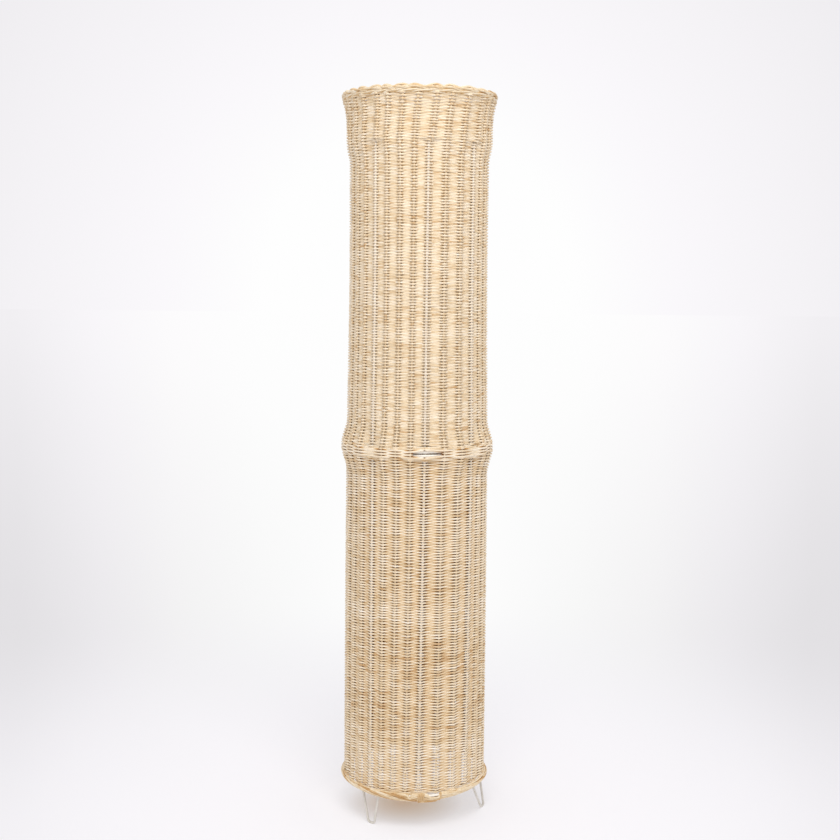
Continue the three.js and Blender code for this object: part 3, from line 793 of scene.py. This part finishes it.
for wrap in WRAP_BEARINGS:
    share = np.linspace(0, 1, BORDER_POINTS)
    swing = np.radians(WRAP_TURN - 2 * WRAP_TURN * share)
    out = (BORDER_OUT + BORDER_STRAND_RADIUS) * np.cos(swing)
    rise = np.where(np.sin(swing) > 0, BORDER_UP, BORDER_DOWN) * np.sin(swing)
    run = at(wrap - WRAP_LEAN * (share - 0.5), border_centre + out, bottom_height + rise)
    painted_shade = np.clip(np.abs(share - 0.5) * WRAP_SUNK - WRAP_BRIGHT, 0, 1)
    border_strands.append((run, WRAP_TONE, painted_shade, 1))
for out, rise in BASE_PLACES:
    bearing = np.linspace(BARE_END, 370, 4 * BORDER_POINTS)
    run = at(bearing, border_centre + out, bottom_height + rise)
    border_strands.append((run, BASE_TONE, BASE_SUNK, 1))
bearing = np.linspace(GOLD_FROM, BARE_END, BORDER_POINTS)
lift = GOLD_LIFT * ease((bearing - GOLD_LIFTS_FROM) / (BARE_END - GOLD_LIFTS_FROM))
run = at(bearing, border_centre + GOLD_OUT, bottom_height - GOLD_DOWN + lift)
border_strands.append((run, GOLD_TONE, 0, 1))
strand_rods(
    "bottom_border_strands", border_strands, BORDER_STRAND_RADIUS, PLAIT_ROUNDNESS, plait_finish,
    "bottom_border",
)

# Carrier arms
# Three coated wires run in from the bottom ring and carry the lampholder. Each is welded to the ring at one
# end and to the hub plate at the other.
ARM_BEARINGS = (30, 150, 270)
ARM_POINTS = 12
ARM_END = 0.0002
arm_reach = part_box("carrier_arm_3")
for number, bearing in enumerate(ARM_BEARINGS):
    node = f"carrier_arm_{number + 1}"
    radii = np.linspace(ARM_END - arm_reach[1].x, -arm_reach[0].x - ARM_END, ARM_POINTS)
    bent_wire(node, at(bearing, radii, middle(node).z), coated_wire)

# Hub plate
# A round steel plate, 3 mm thick and coated like the wires, with a hole for the nipple. The outlines of the
# turned pieces, from here on, and their threads are in millimetres of radius and height.
HUB_OUTLINE = [(5.2, 58.5), (22, 58.5), (22, 61.5), (5.2, 61.5)]
TURNED_SIDES = 72
ROUND_CORNER = 0.0004
CORNER_SHARE = 0.45
CORNER_STEPS = 3
SHARP_ANGLE = math.radians(40)


def rounded(outline, size):
    """An outline of radius and height with its corners rounded off, apart from those on the axis."""
    points = []
    for number, corner in enumerate(outline):
        corner = Vector(corner)
        back = Vector(outline[number - 1]) - corner
        ahead = Vector(outline[(number + 1) % len(outline)]) - corner
        if corner.x == 0:
            points.append(tuple(corner))
            continue
        start = corner + back.normalized() * min(size, back.length * CORNER_SHARE)
        end = corner + ahead.normalized() * min(size, ahead.length * CORNER_SHARE)
        for share in np.linspace(0, 1, CORNER_STEPS + 1):
            points.append(tuple(start.lerp(corner, share).lerp(corner.lerp(end, share), share)))
    return points


def finer(outline, step):
    """The same outline with points no further apart than a step."""
    points = []
    for number, corner in enumerate(outline):
        ahead = outline[(number + 1) % len(outline)]
        count = max(1, round(math.dist(corner, ahead) / step))
        points += [tuple(Vector(corner).lerp(Vector(ahead), s / count)) for s in range(count)]
    return points


def roll_thread(shape, low, high, inner, outer, depth, pitch):
    """A thread rolled into a round shape, where its radius is from inner to outer."""
    for vert in shape.verts:
        radius = math.hypot(vert.co.x, vert.co.y)
        if inner <= radius <= outer:
            fade = float(between(vert.co.z, low, high, pitch))
            wave = math.cos(2 * math.pi * vert.co.z / pitch - math.atan2(vert.co.y, vert.co.x))
            grow = 1 + depth * fade * (wave - 1) / 2 / radius
            vert.co.x *= grow
            vert.co.y *= grow


def finished(name, shape, finish):
    """The object that a worked shape becomes, in its finish."""
    mesh = bpy.data.meshes.new(name)
    shape.to_mesh(mesh)
    shape.free()
    mesh.materials.append(finish)
    return new_object(name, mesh)


def turned(node, outline, finish, body, corner=ROUND_CORNER, step=None, thread=None):
    """A closed round piece that replaces a node, turned from its outline, with a thread if one is given."""
    points = rounded([(r / 1000, z / 1000) for r, z in outline], corner)
    if step:
        points = finer(points, step)
    shape = bmesh.new()
    verts = [shape.verts.new((r, 0, z)) for r, z in points]
    edges = [
        shape.edges.new((verts[number - 1], vert))
        for number, vert in enumerate(verts)
        if vert.co.x > 0 or verts[number - 1].co.x > 0
    ]
    bmesh.ops.spin(
        shape, geom=verts + edges, cent=(0, 0, 0), axis=(0, 0, 1), angle=2 * math.pi, steps=TURNED_SIDES,
        use_merge=True,
    )
    bmesh.ops.remove_doubles(shape, verts=shape.verts, dist=1e-7)
    if thread:
        roll_thread(shape, *(size / 1000 for size in thread))
    bmesh.ops.recalc_face_normals(shape, faces=shape.faces)
    for face in shape.faces:
        face.smooth = True
    piece = finished(f"{node}_turned", shape, finish)
    piece.data.set_sharp_from_angle(angle=SHARP_ANGLE)
    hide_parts(node)
    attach(piece, body)


turned("carrier_hub", HUB_OUTLINE, coated_wire, "frame")

# Nipple and nut
# A hollow threaded steel tube, with a hexagon nut under the hub, lets the cord up. Both are zinc plated. A
# thread's sizes are its two ends, its least and greatest radius, its depth and its pitch.
NIPPLE_OUTLINE = [(3.6, 43.5), (4.9, 43.5), (4.9, 70.5), (3.6, 70.5)]
NIPPLE_THREAD = (43.5, 70.5, 4.8, 5, 0.6, 1)
NIPPLE_CORNER, NIPPLE_STEP = 0.0003, 0.00025
NUT_SIDES = 6
NUT_FLATS = 0.014
NUT_CHAMFER = 0.0006
NUT_BORE = 0.0052
ZINC_TINTS = [(0.3, "#a9adb3"), (0.6, "#c4c8cd"), (0.8, "#dbdde0")]
zinc_plate = speckled("zinc_plate", ZINC_TINTS, 0.28, 1.0, 40, 2500, 0.1)
turned(
    "threaded_nipple", NIPPLE_OUTLINE, zinc_plate, "frame",
    NIPPLE_CORNER, NIPPLE_STEP, NIPPLE_THREAD,
)
nut_low, nut_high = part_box("nipple_nut")
nut_reach = NUT_FLATS / math.sqrt(3)
shape = bmesh.new()
hexagons = []
for radius, height in (
    (nut_reach - NUT_CHAMFER, nut_low.z), (nut_reach, nut_low.z + NUT_CHAMFER),
    (nut_reach, nut_high.z - NUT_CHAMFER), (nut_reach - NUT_CHAMFER, nut_high.z),
    (NUT_BORE, nut_high.z), (NUT_BORE, nut_low.z),
):
    placed = Matrix.Translation((0, 0, height)) @ Matrix.Rotation(math.radians(90), 4, "Z")
    corners = bmesh.ops.create_circle(shape, segments=NUT_SIDES, radius=radius, matrix=placed)["verts"]
    hexagons.append(list({edge for corner in corners for edge in corner.link_edges}))
for lower, upper in zip(hexagons, hexagons[1:] + hexagons[:1]):
    bmesh.ops.bridge_loops(shape, edges=lower + upper)
bmesh.ops.recalc_face_normals(shape, faces=shape.faces)
nut = finished("nipple_nut_hexagon", shape, zinc_plate)
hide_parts("nipple_nut")
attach(nut, "frame")

# Lampholder shell
# A bush where the cord goes in, a cap and a body with a collar, moulded in white thermoset plastic. The cap
# is screwed onto the nipple and the body onto the cap.
BUSH_OUTLINE = [(3.6, 38.5), (6.5, 38.5), (7.5, 39.5), (7.5, 50.5), (5.2, 50.5), (5.2, 43.2), (3.6, 43.2)]
CAP_OUTLINE = [
    (5.2, 61.8), (14.5, 61.8), (19.5, 70.8), (19.5, 79.8), (17.5, 79.8), (17.5, 71.8),
    (13.5, 63.8), (5.2, 63.8),
]
BODY_OUTLINE = [
    (17.5, 80.1), (19.5, 80.1), (19.5, 89.85), (16.55, 91.85), (16.55, 116.1), (15.55, 118.1),
    (14.55, 118.1), (14.55, 87.85), (17.5, 87.85),
]
CAP_CORNER, BODY_CORNER = 0.0008, 0.0006
MOULDED_TINTS = [(0.35, "#ebe8e3"), (0.6, "#f1efeb"), (0.8, "#f6f5f2")]
moulded_white = speckled("moulded_white", MOULDED_TINTS, 0.35, 0, 50, 2200, 0.06)
turned("cord_inlet_bush", BUSH_OUTLINE, moulded_white, "frame", CAP_CORNER)
turned("holder_cap", CAP_OUTLINE, moulded_white, "frame", CAP_CORNER)
turned("holder_body", BODY_OUTLINE, moulded_white, "frame", BODY_CORNER)

# Terminals
# A white insulator carries two slotted brass screws for the wires, and above them the threaded shell and the
# sprung centre contact, both pressed from sheet brass.
BLOCK_OUTLINE = [(0, 76.05), (17.2, 76.05), (17.2, 87.55), (0, 87.55)]
SHELL_OUTLINE = [(13.45, 87.85), (14.25, 87.85), (14.25, 109.85), (13.45, 109.85)]
CONTACT_OUTLINE = [(0, 87.85), (3, 87.85), (1.5, 89.35), (0, 89.35)]
BULB_PITCH = 3.63
SHELL_THREAD = (88.5, 109.5, 13.2, 14.4, 0.2, BULB_PITCH)
SHELL_CORNER, SHELL_STEP, CONTACT_CORNER = 0.0003, 0.0004, 0.0005
SCREW_RADIUS, SCREW_ASIDE, SCREW_SIDES = 0.0028, 0.009, 32
SLOT_HALF, SLOT_DEPTH = 0.0004, 0.0008
INSULATOR_TINTS = [(0.35, "#e9e6df"), (0.6, "#f2f0eb"), (0.8, "#f7f6f3")]
BRASS_TINTS = [(0.3, "#b08d4c"), (0.6, "#cdb06b"), (0.8, "#dcc486")]
insulator = speckled("insulator", INSULATOR_TINTS, 0.3, 0, 40, 1800, 0.08)
pressed_brass = speckled("pressed_brass", BRASS_TINTS, 0.3, 1.0, 60, 2500, 0.08)
turned("terminal_block", BLOCK_OUTLINE, insulator, "frame")
for number, side in enumerate((-1, 1)):
    node = f"terminal_screw_{number + 1}"
    low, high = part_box(node)
    shape = bmesh.new()
    bmesh.ops.create_cone(
        shape, cap_ends=True, segments=SCREW_SIDES, radius1=SCREW_RADIUS, radius2=SCREW_RADIUS,
        depth=high.z - low.z,
    )
    for edge in (SLOT_HALF, -SLOT_HALF):
        everything = shape.verts[:] + shape.edges[:] + shape.faces[:]
        bmesh.ops.bisect_plane(shape, geom=everything, plane_co=(edge, 0, 0), plane_no=(1, 0, 0))
    slot_faces = [f for f in shape.faces if f.normal.z < -0.9 and abs(f.calc_center_median().x) < SLOT_HALF]
    pushed = bmesh.ops.extrude_discrete_faces(shape, faces=slot_faces)["faces"]
    for vert in {v for face in pushed for v in face.verts}:
        vert.co.z += SLOT_DEPTH
    bmesh.ops.translate(shape, verts=shape.verts, vec=(side * SCREW_ASIDE, 0, (low.z + high.z) / 2))
    screw = finished(f"{node}_slotted", shape, pressed_brass)
    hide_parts(node)
    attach(screw, "frame")
turned(
    "screw_shell", SHELL_OUTLINE, pressed_brass, "frame",
    SHELL_CORNER, SHELL_STEP, SHELL_THREAD,
)
turned("centre_contact", CONTACT_OUTLINE, pressed_brass, "frame", CONTACT_CORNER)

# Bulb
# An opal globe, 60 mm across, on a rolled metal screw cap with a brass tip. It screws out of the holder.
TIP_OUTLINE = [(0, 89.65), (2.25, 89.65), (4.5, 90.85), (0, 90.85)]
SCREW_CAP_OUTLINE = [(0, 91.15), (4.5, 91.15), (13, 95.4), (13, 115.15), (0, 115.15)]
SCREW_CAP_THREAD = (95.5, 112.5, 12.8, 13.2, 1, BULB_PITCH)
SCREW_CAP_CORNER, SCREW_CAP_STEP = 0.0008, 0.0004
NECK_OUTLINE = [(13.2, 115.45), (14.1, 125.05), (19.8, 137.85)]
GLOBE_RADIUS, GLOBE_HEIGHT, GLASS_WALL = 30, 165.45, 1
GLOBE_TURNS = np.radians(range(-25, 90, 5))
GLASS_CORNER = 0.004
ROLLED_TINTS = [(0.3, "#b4b5b8"), (0.6, "#cfd0d2"), (0.8, "#e2e2e3")]
rolled_cap = speckled("rolled_cap", ROLLED_TINTS, 0.25, 1.0, 40, 2000, 0.06)
opal = speckled("opal", [(0.35, "#f2f0ea"), (0.6, "#f6f4ef"), (0.8, "#faf9f5")], 0.12, 0, 20, 400, 0.02)
turned("bulb_tip_contact", TIP_OUTLINE, pressed_brass, "bulb_tip")
turned(
    "bulb_screw_cap", SCREW_CAP_OUTLINE, rolled_cap, "bulb",
    SCREW_CAP_CORNER, SCREW_CAP_STEP, SCREW_CAP_THREAD,
)


def glass_face(inset):
    """A face of the glass, at an inset from the outer one, from the neck up to the axis."""
    radius = GLOBE_RADIUS - inset
    neck = [(r - inset, z) for r, z in NECK_OUTLINE]
    globe = [(radius * math.cos(turn), GLOBE_HEIGHT + radius * math.sin(turn)) for turn in GLOBE_TURNS]
    return [*neck, *globe, (0, GLOBE_HEIGHT + radius)]


glass_outline = [*glass_face(0), *reversed(glass_face(GLASS_WALL))]
turned("bulb_glass", glass_outline, opal, "bulb", GLASS_CORNER)

# Floor
# A wide level sheet of pale paper with a glow of its own, painted light that lifts its shadows. Away from
# the lamp it fades into the white of the room, alike in front and behind. Under the lamp, a little to the
# left, its glow holds a warm painted shadow, lighter round its edge.
FLOOR_REACH = 40
PAPER_TINT, PAPER_ROUGHNESS, PAPER_SHINE = "#bcbbbe", 0.9, 0.1
PAINTED_SHADOW_REACH = 0.17
PAINTED_SHADOW_MIDDLE = (-0.016, 0.0, 0.0)
PAINTED_SHADOW_TINTS = [(0.0, "#d0af8c"), (0.26, "#dfcfbf"), (0.45, "#eee8e4"), (0.6, "#fbf9fa"), (1.0, "#eeedf0")]
EDGE_REACH = 2.5
EDGE_TINTS = [(0.12, "#ffffff"), (0.26, "#fbfbfb"), (0.36, "#f2f1f2"), (0.64, "#f1f0f1"), (0.96, "#f5f4f5")]
FAR_SIDE_TINTS = [(0.125, "#fefefe"), (0.19, "#fdfcfd"), (0.25, "#f9f7fa"), (0.315, "#f2f0f3")]
FAR_NEAR_TINTS = [
    (0.0, "#ffffff"), (0.01, "#fefefe"), (0.03, "#f9f9f9"), (0.06, "#f2f2f2"), (0.08, "#efefef"),
]
FLOOR_MIDDLE = -0.16
FLOOR_GLOW = 0.53
FADE_FROM, FADE_TO = 0.3, 1.5


def add_share(tree, value, start, end, interpolation="LINEAR"):
    """How far a value has come from start to end, between 0 and 1."""
    terms = {"Value": value, "From Min": start, "From Max": end}
    return add_node(tree, "MapRange", terms, interpolation_type=interpolation)["Result"]


def add_backdrop(tree, lit, backdrop, socket, share=1.0):
    """A share of the backdrop, shown to the camera's rays and to those off metal or through glass."""
    rays = add_node(tree, "LightPath")
    seen_in = add_math(tree, "MAXIMUM", rays["Is Glossy Ray"], rays["Is Transmission Ray"])
    seen = add_math(tree, "MAXIMUM", rays["Is Camera Ray"], seen_in)
    shown = add_math(tree, "MULTIPLY", seen, share)
    tree.links.new(add_node(tree, "MixShader", enumerate((shown, lit, backdrop)))["Shader"], socket)


paper, tree, surface = new_finish("pale_paper", PAPER_ROUGHNESS)
surface.inputs["Base Color"].default_value = linear(PAPER_TINT)
surface.inputs["Specular IOR Level"].default_value = PAPER_SHINE
surface.inputs["Emission Strength"].default_value = FLOOR_GLOW
place = add_node(tree, "TexCoord")["Object"]
split = add_node(tree, "SeparateXYZ", {"Vector": place})
# Painted shadow: the glow is darker and warmer towards a point a little left of the lamp's axis, and a touch
# brighter round the shadow's edge.
from_painted_shadow = add_math(tree, "DISTANCE", place, PAINTED_SHADOW_MIDDLE, vectors=True)
painted_shadow = add_ramp(tree, add_share(tree, from_painted_shadow, 0, PAINTED_SHADOW_REACH), PAINTED_SHADOW_TINTS)
aside = add_math(tree, "ABSOLUTE", split["X"])
edge_tint = add_ramp(tree, add_share(tree, aside, 0, EDGE_REACH), EDGE_TINTS)
near_tint = add_math(tree, "MULTIPLY", painted_shadow, edge_tint, vectors=True)
tree.links.new(near_tint, surface.inputs["Emission Color"])
ahead = add_math(tree, "ABSOLUTE", add_math(tree, "SUBTRACT", split["Y"], FLOOR_MIDDLE))
away = add_math(tree, "ADD", ahead, FLOOR_MIDDLE - CAMERA_PLACE[1])
side_slant = add_math(tree, "DIVIDE", aside, away)
down_slant = add_math(tree, "DIVIDE", CAMERA_PLACE[2], away)
far_side = add_ramp(tree, side_slant, FAR_SIDE_TINTS)
far_near = add_ramp(tree, add_math(tree, "MULTIPLY", side_slant, down_slant), FAR_NEAR_TINTS)
far_tint = add_math(tree, "MULTIPLY", far_side, far_near, vectors=True)
glow = add_node(tree, "Emission", {"Color": far_tint})["Emission"]
from_lamp = add_math(tree, "DISTANCE", place, (0, 0, 0), vectors=True)
faded = add_share(tree, from_lamp, FADE_FROM, FADE_TO, "SMOOTHSTEP")
paper_surface = tree.nodes["Material Output"].inputs["Surface"]
add_backdrop(tree, surface.outputs["BSDF"], glow, paper_surface, faded)
sheet = bmesh.new()
bmesh.ops.create_grid(sheet, x_segments=1, y_segments=1, size=FLOOR_REACH)
floor = finished("floor", sheet, paper)

# Light
# A bright even room, alike in front and behind, a soft sun from the upper front, a little to the right, and
# a broad lamp high up in front.
WALL_CENTRE = (0, 1, 0)
WALL_TINTS = [
    (0.12, "#fefefe"), (0.2, "#faf8fb"), (0.3, "#f4f2f5"),
    (0.4, "#edebee"), (0.6, "#ebe9ec"), (0.95, "#e3e1e4"),
]
AIR_TINT = "#fdfcfe"
ROOM_LIGHT = 0.76
LAMP_TINT = (1, 0.985, 0.96)
SUN_LIGHT = 0.3
SUN_ANGLE = math.radians(50)
SUN_AIM = (-0.05, 0.95, -1.0)
OVER_LIGHT = 17
OVER_WIDTH = 1.2
OVER_PLACE = (0.15, -1.25, 2.25)
OVER_AIM = (0, 0, 1.05)
world = bpy.data.worlds.new("room")
world.use_nodes = True
bpy.context.scene.world = world
tree = world.node_tree
air = tree.nodes["Background"]
air.inputs["Color"].default_value = linear(AIR_TINT)
air.inputs["Strength"].default_value = ROOM_LIGHT
either_way = add_math(tree, "ABSOLUTE", add_node(tree, "TexCoord")["Generated"], vectors=True)
off_centre = add_math(tree, "DISTANCE", either_way, WALL_CENTRE, vectors=True)
wall = add_node(tree, "Background", {"Color": add_ramp(tree, off_centre, WALL_TINTS)})["Background"]
add_backdrop(tree, air.outputs["Background"], wall, tree.nodes["World Output"].inputs["Surface"])


def new_lamp(name, kind, strength, aim):
    """A lamp of a kind and strength that shines along a direction."""
    data = bpy.data.lights.new(name, kind)
    data.energy = strength
    data.color = LAMP_TINT
    lamp = new_object(name, data)
    lamp.rotation_euler = Vector(aim).to_track_quat("-Z", "Y").to_euler()
    return lamp


key = new_lamp("key", "SUN", SUN_LIGHT, SUN_AIM)
key.data.angle = SUN_ANGLE
over = new_lamp("over", "AREA", OVER_LIGHT, Vector(OVER_AIM) - Vector(OVER_PLACE))
over.data.shape = "DISK"
over.data.size = OVER_WIDTH
over.location = OVER_PLACE
over.visible_camera = False

bpy.context.scene.view_settings.view_transform = "Standard"
